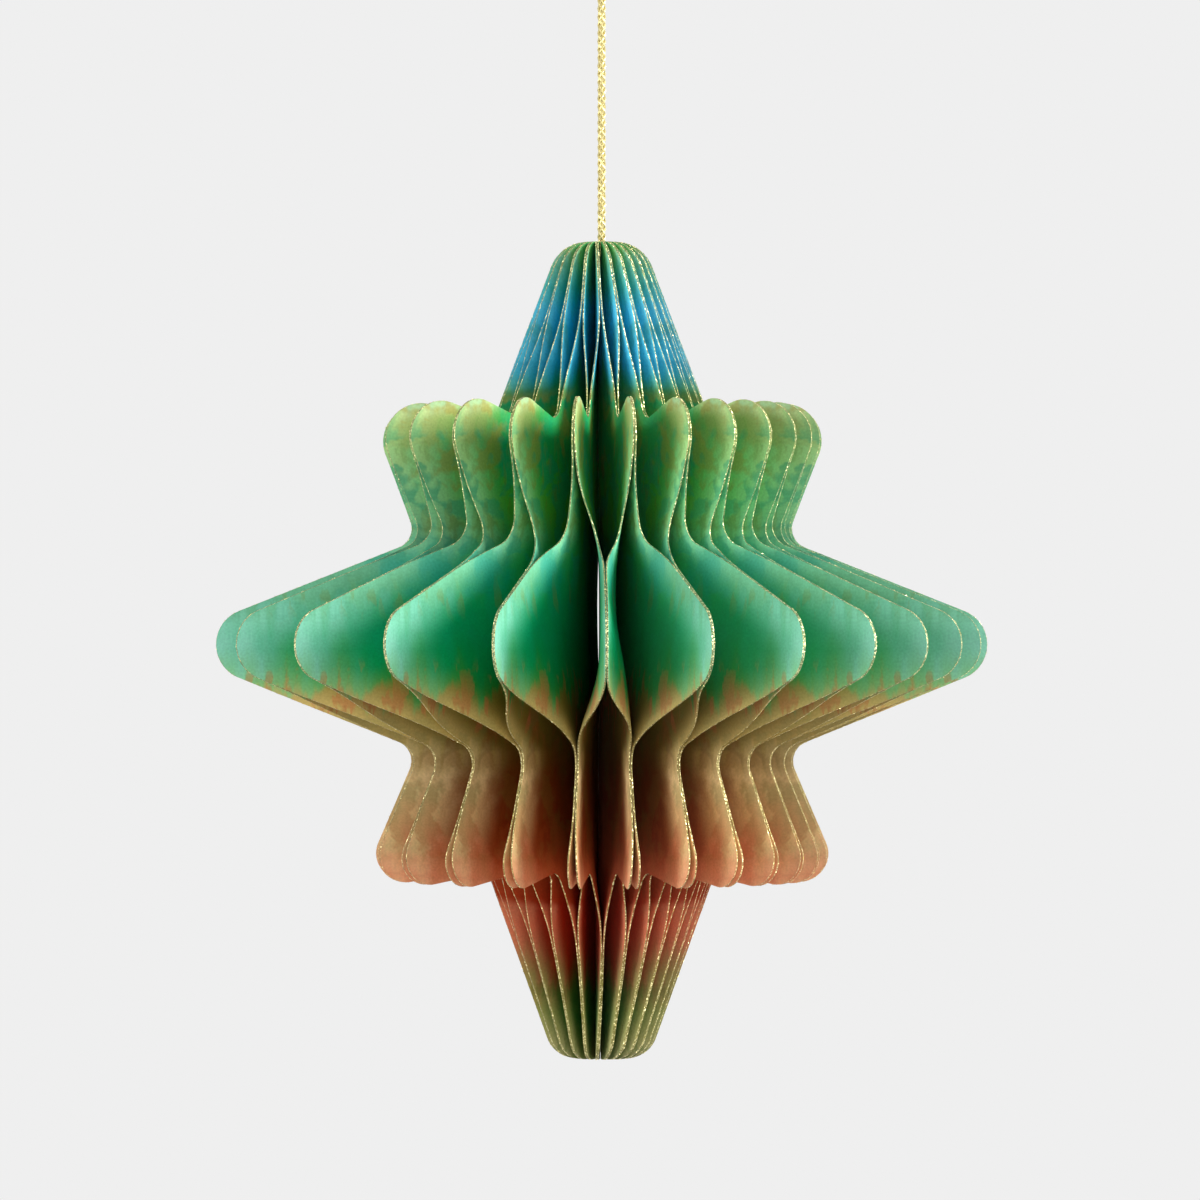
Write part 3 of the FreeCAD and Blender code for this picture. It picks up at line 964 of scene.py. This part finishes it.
def cut_edges(node: Object, bore: float) -> list[CutEdge]:
    """Finds the cut edge of each of a leaf's two faces.

    Args:
        node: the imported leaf.
        bore: distance from the axis under which the leaf is bound, not cut.

    Returns:
        The two edges, the one on the left side first.
    """
    form = bmesh.new()
    form.from_mesh(node.data)
    bmesh.ops.remove_doubles(form, verts=form.verts, dist=MERGE_WITHIN)
    form.normal_update()
    form.faces.ensure_lookup_table()
    # A sheet is all the triangles that join with no sharp fold between them.
    sheet_of = {}
    sheets = []
    for first in form.faces:
        if first in sheet_of:
            continue
        sheet = []
        waiting = [first]
        sheet_of[first] = len(sheets)
        while waiting:
            face = waiting.pop()
            sheet.append(face)
            for edge in face.edges:
                for other in edge.link_faces:
                    if other not in sheet_of and face.normal.angle(other.normal, NO_FACE) < SHEET_BEND:
                        sheet_of[other] = len(sheets)
                        waiting.append(other)
        sheets.append(sheet)
    sheets.sort(key=lambda sheet: sum(face.calc_area() for face in sheet), reverse=True)
    edges = [outer_line(sheet, bore) for sheet in sheets[:2]]
    form.free()
    return sorted(edges, key=edge_turn)


def outer_line(sheet: list[bmesh.types.BMFace], bore: float) -> CutEdge:
    """Follows the outline of one face of a leaf from the crown to the foot.

    Args:
        sheet: the face's triangles.
        bore: distance from the axis under which the leaf is bound, not cut.

    Returns:
        The outline without its bound part.
    """
    inside = set(sheet)
    follow = {}
    for face in sheet:
        for loop in face.loops:
            if all(other is face or other not in inside for other in loop.edge.link_faces):
                follow[loop.vert] = loop.link_loop_next.vert
    start = max((vert for vert in follow if vert.co.xy.length < bore), key=lambda vert: vert.co.z)
    ring = [start]
    while len(ring) < len(follow) and follow[ring[-1]] is not start:
        ring.append(follow[ring[-1]])
    line = [vert for vert in ring if vert.co.xy.length >= bore]
    if line[0].co.z < line[-1].co.z:
        line.reverse()
    places = np.array([vert.co for vert in line])
    normals = []
    for vert in line:
        normal = Vector()
        for face in vert.link_faces:
            if face in inside:
                normal += face.normal * face.calc_area()
        normals.append(normal.normalized())
    outline = np.stack([np.hypot(places[:, 0], places[:, 1]), places[:, 2]], 1)
    along = np.r_[0.0, np.cumsum(np.linalg.norm(np.diff(outline, axis=0), axis=1))]
    return CutEdge(places, np.array(normals), along / along[-1])


def edge_turn(edge: CutEdge) -> float:
    """How far to the left a face looks: its normals against the turning direction."""
    around = np.stack([-edge.places[:, 1], edge.places[:, 0], 0 * edge.along], 1)
    return float((edge.normals * around).sum())


@dataclass
class GlitterEdge:
    """Gold glitter glued along a leaf's cut edge: a rough bead, and flakes that stand out of it."""

    # Margin and crest are shares of the card's thickness. Low, bead and buried are how far the
    # bead's corners stand from the cut edge. The largest flakes are drawn coarser than fine craft
    # glitter, so that single ones show, and few_large is the power that makes them rare.
    bore: float = 3.3 * MM
    edge_length: float = 285 * MM
    step: float = 0.9 * MM
    least_share: float = 2e-4
    margin: float = 0.14
    crest_from: float = 0.35
    crest_to: float = 0.65
    rough: float = 0.5
    low: float = 0.004 * MM
    bead: float = 0.018 * MM
    buried: float = 0.06 * MM
    # The bead's tone keeps it at the glitter's dark gold, its painted shade, save where cells glint.
    bead_tone: float = 0.0
    flakes_per_mm: float = 2.8
    flake_low: float = 0.04 * MM
    flake_high: float = 0.17 * MM
    flake_half: float = 0.012 * MM
    flake_tilt: float = 0.55
    flake_tone: float = 0.25
    few_large: int = 3
    shown_sides: float = 2.99
    stop_short: float = 0.001
    seed: int = 11

    def build(self, leaves: list[str], finish: Material) -> list[Object]:
        """Makes the glitter of all the leaves.

        Args:
            leaves: the leaves' names in order round the star.
            finish: the glitter's material.

        Returns:
            The glitter of each leaf.
        """
        rng = np.random.default_rng(self.seed)
        pieces = []
        for name in leaves:
            piece = self._one(name, cut_edges(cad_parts[name], self.bore), rng)
            wear(piece, finish)
            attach(piece, BODY)
            pieces.append(piece)
        return pieces

    def _one(self, name: str, sides: list[CutEdge], rng: np.random.Generator) -> Object:
        """Makes the glitter of one leaf, on the middle of its cut edge.

        Args:
            name: the leaf's name.
            sides: the cut edges of its two faces.
            rng: the source of chance.

        Returns:
            The glitter, not yet dressed.
        """
        count = round(self.edge_length / self.step)
        along = np.unique(np.round(np.r_[np.linspace(0, 1, count), sides[0].along, sides[1].along], 6))
        along = along[np.r_[True, np.diff(along) > self.least_share]]
        near, near_normal = sides[0].at(along)
        far, far_normal = sides[1].at(along)
        onward = np.gradient((near + far) / 2, axis=0)
        onward /= np.linalg.norm(onward, axis=1, keepdims=True)
        inward = self._inward(near_normal, onward, near) + self._inward(far_normal, onward, far)
        inward /= np.linalg.norm(inward, axis=1, keepdims=True)
        rough = 1 + self.rough * rng.standard_normal(len(along)).clip(-1, 1)[:, None]
        crest = inward * self.bead * rough
        across = far - near
        first = near + across * self.margin
        last = far - across * self.margin
        bead = [
            first - inward * self.low,
            near + across * self.crest_from - crest,
            near + across * self.crest_to - crest,
            last - inward * self.low,
            last + inward * self.buried,
            first + inward * self.buried,
        ]
        points = np.stack(bead, 1)
        places, faces = self._tube(points)
        shade = np.full(len(places), self.bead_tone)
        flake_places, flake_faces, flake_shade = self._flakes(points, rng)
        faces += [[corner + len(places) for corner in face] for face in flake_faces]
        places = np.r_[places, flake_places]
        shade = np.r_[shade, flake_shade]
        mesh = bpy.data.meshes.new(name.replace("leaf", "glitter"))
        mesh.from_pydata(places.tolist(), [], faces)
        tone = mesh.attributes.new("tone", "FLOAT", "POINT")
        tone.data.foreach_set("value", shade.astype(np.float32))
        mesh.update()
        piece = bpy.data.objects.new(mesh.name, mesh)
        bpy.context.scene.collection.objects.link(piece)
        return piece

    def _inward(self, normal: np.ndarray, onward: np.ndarray, place: np.ndarray) -> np.ndarray:
        """Finds the direction along a face, away from its cut edge.

        Args:
            normal: the face's normals.
            onward: the directions along the edge.
            place: the places on the edge.

        Returns:
            The directions, of length 1.
        """
        inward = np.cross(normal, onward)
        inward /= np.linalg.norm(inward, axis=1, keepdims=True)
        tip = np.argmax(np.hypot(place[:, 0], place[:, 1]))
        return inward if inward[tip] @ place[tip] < 0 else -inward

    def _tube(self, points: np.ndarray) -> tuple[np.ndarray, list[list[int]]]:
        """Joins the bead's rings into a closed tube.

        Args:
            points: the rings' corners, by ring and by corner.

        Returns:
            The corners in one row, and the faces.
        """
        count, around = points.shape[:2]
        faces = []
        for n in range(count - 1):
            for k in range(around):
                a = n * around + k
                b = n * around + (k + 1) % around
                faces.append([a, a + around, b + around, b])
        faces.append(list(range(around)))
        faces.append([(count - 1) * around + k for k in range(around)][::-1])
        return points.reshape(-1, 3), faces

    def _flakes(
        self, points: np.ndarray, rng: np.random.Generator
    ) -> tuple[np.ndarray, list[list[int]], np.ndarray]:
        """Scatters tilted square flakes over the part of the bead that shows.

        Args:
            points: the bead's corners, by ring and by corner.
            rng: the source of chance.

        Returns:
            The flakes' corners, faces and brightness at each corner.
        """
        count = round(self.flakes_per_mm * self.edge_length / MM)
        leg = rng.uniform(0, len(points) - 1 - self.stop_short, count)
        low = leg.astype(int)
        share = (leg - low)[:, None]
        across = rng.uniform(0.0, self.shown_sides, count)
        column = across.astype(int)
        over = (across - column)[:, None]
        line = points[low] * (1 - share[:, None]) + points[low + 1] * share[:, None]
        rows = np.arange(count)
        start = line[rows, column]
        end = line[rows, column + 1]
        middle = start + (end - start) * over
        onward = points[low + 1, 0] - points[low, 0]
        up = np.cross(onward, end - start)
        up /= np.linalg.norm(up, axis=1, keepdims=True) + TINY
        up += self.flake_tilt * rng.standard_normal((count, 3))
        up /= np.linalg.norm(up, axis=1, keepdims=True)
        side = np.cross(up, rng.standard_normal((count, 3)))
        side /= np.linalg.norm(side, axis=1, keepdims=True)
        other = np.cross(up, side)
        size = rng.uniform(0, 1, count) ** self.few_large
        half = (self.flake_low + (self.flake_high - self.flake_low) * size)[:, None]
        corners = np.stack(
            [
                middle + side * half,
                middle + other * half,
                middle - side * half,
                middle - other * half,
                middle + up * self.flake_half,
                middle - up * self.flake_half,
            ],
            1,
        ).reshape(-1, 3)
        # Each flake has four corners round its rim, one above it and one below.
        faces = []
        for n in range(count):
            first = 6 * n
            for k in range(4):
                a = first + k
                b = first + (k + 1) % 4
                faces.append([a, b, first + 4])
                faces.append([b, a, first + 5])
        # Larger flakes get more tone, which pushes them to the glitter's painted glint colour.
        tone = self.flake_tone + (1 - self.flake_tone) * size
        return corners, faces, np.repeat(tone, 6)


@dataclass
class Leaves:
    """The star's card leaves."""

    prefix: str = "leaf"

    def dress(self, card: Material) -> list[str]:
        """Prints every leaf.

        Args:
            card: the printed card.

        Returns:
            The leaves' names in order round the star.
        """
        names = sorted(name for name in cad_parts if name.startswith(self.prefix))
        for name in names:
            dress(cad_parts[name], card)
        return names


# ---------------------------------------------------------------- studio


@dataclass(frozen=True)
class Lamp:
    """A square soft lamp: its name, its place in metres and its power in watts."""

    name: str
    place: tuple[float, float, float]
    power: float
    size: float = 0.9


@dataclass
class Studio:
    """The camera, the lamps, the pale world and the floor far below the star."""

    # Places are in metres, the lens and the sensor in mm, and view_drop is a share of the width.
    distance: float = 1.0
    aside: float = -0.3 * MM
    lens: float = 163.0
    sensor: float = 36.0
    view_drop: float = 50 / 1200
    backdrop: str = "#efefef"
    soft: float = 0.37
    floor_drop: float = 0.16
    floor_half: float = 0.9
    floor_paint: str = "#dcdcdc"
    floor_glow: float = 0.8
    lamps: tuple[Lamp, ...] = (
        Lamp("key_lamp", (1.45, -0.39, 0.55), 42.5),
        Lamp("front_lamp", (0.64, -1.36, 0.55), 3.8),
        Lamp("fill_lamp", (-1.15, -0.97, 0.3), 17.0),
    )

    def light(self) -> None:
        """Makes the world, the lamps and the floor."""
        self._world()
        for lamp in self.lamps:
            self._hang(lamp)
        self._floor()
        bpy.context.scene.view_settings.view_transform = "Standard"

    def place_camera(self) -> None:
        """A long lens, level with the star's middle."""
        data = bpy.data.cameras.new("camera")
        data.lens = self.lens
        data.sensor_width = self.sensor
        data.shift_y = self.view_drop
        camera = bpy.data.objects.new("camera", data)
        camera.location = (self.aside, -self.distance, 0.0)
        camera.rotation_euler = (math.pi / 2, 0.0, 0.0)
        bpy.context.scene.collection.objects.link(camera)
        bpy.context.scene.camera = camera

    def _world(self) -> None:
        """Soft light from all round, and the plain pale backdrop where it is seen."""
        world = bpy.data.worlds.new("studio")
        world.use_nodes = True
        tree = world.node_tree
        tree.nodes.clear()
        shown = self._shown(tree)
        soft = add(tree, "ShaderNodeBackground", {0: linear("#ffffff"), 1: self.soft}).outputs[0]
        pale = add(tree, "ShaderNodeBackground", {0: linear(self.backdrop), 1: 1.0}).outputs[0]
        both = add(tree, "ShaderNodeMixShader", {0: shown, 1: soft, 2: pale}).outputs[0]
        add(tree, "ShaderNodeOutputWorld", {0: both})
        bpy.context.scene.world = world

    def _shown(self, tree: NodeTree) -> NodeSocket:
        """Tells where a surface is seen, straight on or in gloss or through glass.

        Args:
            tree: the node tree of the world or the floor.

        Returns:
            1 for the rays that show it, and 0 for those that only carry its light.
        """
        path = add(tree, "ShaderNodeLightPath").outputs
        seen = add(
            tree,
            "ShaderNodeMath",
            {0: path["Is Camera Ray"], 1: path["Is Glossy Ray"]},
            operation="MAXIMUM",
        ).outputs[0]
        return add(
            tree, "ShaderNodeMath", {0: seen, 1: path["Is Transmission Ray"]}, operation="MAXIMUM"
        ).outputs[0]

    def _hang(self, lamp: Lamp) -> None:
        """Puts up a lamp that faces the star.

        Args:
            lamp: the lamp.
        """
        data = bpy.data.lights.new(lamp.name, "AREA")
        data.size = lamp.size
        data.energy = lamp.power
        light = bpy.data.objects.new(lamp.name, data)
        light.location = lamp.place
        light.rotation_euler = (-light.location).to_track_quat("-Z", "Y").to_euler()
        bpy.context.scene.collection.objects.link(light)

    def _floor(self) -> None:
        """A pale floor, below and out of the camera's view.

        It is matt paint: flat, with no gloss, so all that it shows is the star's soft shadow.
        """
        low = CAD_BOX[0][2] - self.floor_drop
        bpy.ops.object.select_all(action="DESELECT")
        bpy.ops.mesh.primitive_plane_add(size=2 * self.floor_half, location=(0, 0, low))
        floor = bpy.context.object
        floor.name = "floor"
        material, tree = new_material("matt_floor_paint")
        paint = add(tree, "ShaderNodeBsdfDiffuse", {0: linear(self.floor_paint)}).outputs[0]
        glow = add(tree, "ShaderNodeEmission", {0: linear(self.backdrop), 1: 1.0}).outputs[0]
        share = add(
            tree, "ShaderNodeMath", {0: self._shown(tree), 1: self.floor_glow}, operation="MULTIPLY"
        ).outputs[0]
        both = add(tree, "ShaderNodeMixShader", {0: share, 1: paint, 2: glow}).outputs[0]
        add(tree, "ShaderNodeOutputMaterial", {"Surface": both})
        floor.data.materials.append(material)


def main() -> None:
    """Builds the camera and cord, then dresses and glitters every leaf, then lights the star."""
    studio = Studio()
    studio.place_camera()
    cord = HangingCord().build(GoldThread().make(), CoreThread().make())
    leaves = Leaves().dress(PrintedCard().make())
    glitter = GlitterEdge().build(leaves, GoldGlitter().make())
    studio.light()
    for piece in cord + [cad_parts[name] for name in leaves] + glitter:
        log.info("%s: %d triangles", piece.name, triangles(piece))


if __name__ == "__main__":
    main()
